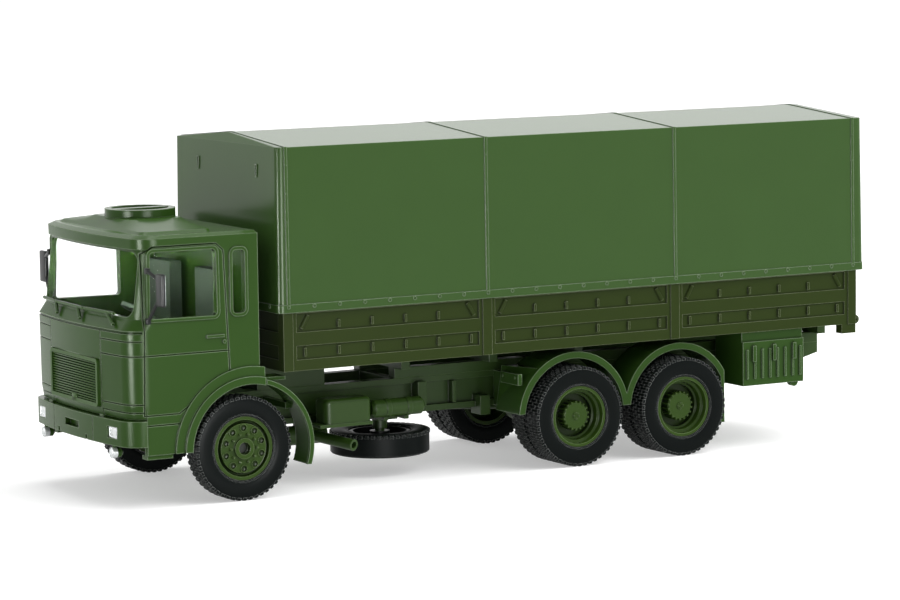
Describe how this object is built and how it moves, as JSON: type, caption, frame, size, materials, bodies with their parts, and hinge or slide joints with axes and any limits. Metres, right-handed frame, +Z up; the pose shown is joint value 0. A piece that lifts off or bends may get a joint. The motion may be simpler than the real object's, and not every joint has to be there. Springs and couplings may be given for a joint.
{
  "type": "scale model of a military cargo truck",
  "caption": "Small plastic model of a cab-over army cargo truck: hollow glazed cab, ladder frame, twin-tyred bogie, spare wheel, drop-side bed and moulded canvas cover. Rolls on its wheels.",
  "frame": {"origin": "on the ground under the middle of the model's length and width", "axes": "+X forward, +Y to the model's left, +Z up"},
  "size_m": [0.1064, 0.036, 0.0431],
  "materials": {
    "army_green_plastic": "satin moulded green plastic",
    "cab_green_plastic": "satin moulded green plastic",
    "cover_green_plastic": "satin moulded green plastic",
    "olive_brown_plastic": "matt moulded olive plastic",
    "rim_green_plastic": "satin moulded green plastic",
    "dark_interior_plastic": "dark moulded plastic",
    "black_plastic": "satin black plastic",
    "black_tyre": "soft black tyre plastic",
    "clear_glazing": "clear moulded glazing",
    "silver_lens": "silver printed lamp face",
    "steel_pin": "plain steel pin"
  },
  "bodies": {
    "chassis": {"chassis_frame": "army_green_plastic", "engine_block": "army_green_plastic", "front_axle_beam": "army_green_plastic", "middle_axle_housing": "army_green_plastic", "rear_axle_housing": "army_green_plastic", "bogie_springs": "army_green_plastic", "prop_shafts": "army_green_plastic", "cab_shell": "cab_green_plastic", "windscreen": "clear_glazing", "side_windows": "clear_glazing", "grille": "cab_green_plastic", "bumper": "cab_green_plastic", "headlamps": "silver_lens", "fog_lamps": "cab_green_plastic", "cab_interior": "dark_interior_plastic", "dashboard": "dark_interior_plastic", "steering_wheel": "dark_interior_plastic", "roof_hatch": "cab_green_plastic", "wipers": "cab_green_plastic", "mirror_left": "black_plastic", "mirror_right": "black_plastic", "front_mudguard_left": "cab_green_plastic", "front_mudguard_right": "cab_green_plastic", "rear_mudguard_left": "cab_green_plastic", "rear_mudguard_right": "cab_green_plastic", "fuel_tank": "army_green_plastic", "air_tank": "army_green_plastic", "exhaust": "army_green_plastic", "spare_tyre": "black_tyre", "spare_rim": "black_plastic", "spare_carrier": "army_green_plastic", "tool_box_left": "cab_green_plastic", "tool_box_right": "cab_green_plastic", "tow_coupling": "army_green_plastic", "bed_floor": "olive_brown_plastic", "bed_subframe": "army_green_plastic", "drop_sides": "olive_brown_plastic", "canvas_cover": "cover_green_plastic"},
    "front_wheelset": {"front_axle_pin": "steel_pin", "front_tyre_left": "black_tyre", "front_tyre_right": "black_tyre", "front_rim_left": "rim_green_plastic", "front_rim_right": "rim_green_plastic"},
    "middle_wheelset": {"middle_axle_pin": "steel_pin", "middle_tyres_left": "black_tyre", "middle_tyres_right": "black_tyre", "middle_rim_left": "rim_green_plastic", "middle_rim_right": "rim_green_plastic"},
    "rear_wheelset": {"rear_axle_pin": "steel_pin", "rear_tyres_left": "black_tyre", "rear_tyres_right": "black_tyre", "rear_rim_left": "rim_green_plastic", "rear_rim_right": "rim_green_plastic"}
  },
  "joints": [
    {"name": "front_wheels_roll", "type": "hinge", "parent": "chassis", "child": "front_wheelset", "pos_m": [0.03717, 0, 0.0063], "axis": [0, 1, 0], "continuous": true},
    {"name": "middle_wheels_roll", "type": "hinge", "parent": "chassis", "child": "middle_wheelset", "pos_m": [-0.00932, 0, 0.0063], "axis": [0, 1, 0], "continuous": true},
    {"name": "rear_wheels_roll", "type": "hinge", "parent": "chassis", "child": "rear_wheelset", "pos_m": [-0.02482, 0, 0.0063], "axis": [0, 1, 0], "continuous": true}
  ]
}
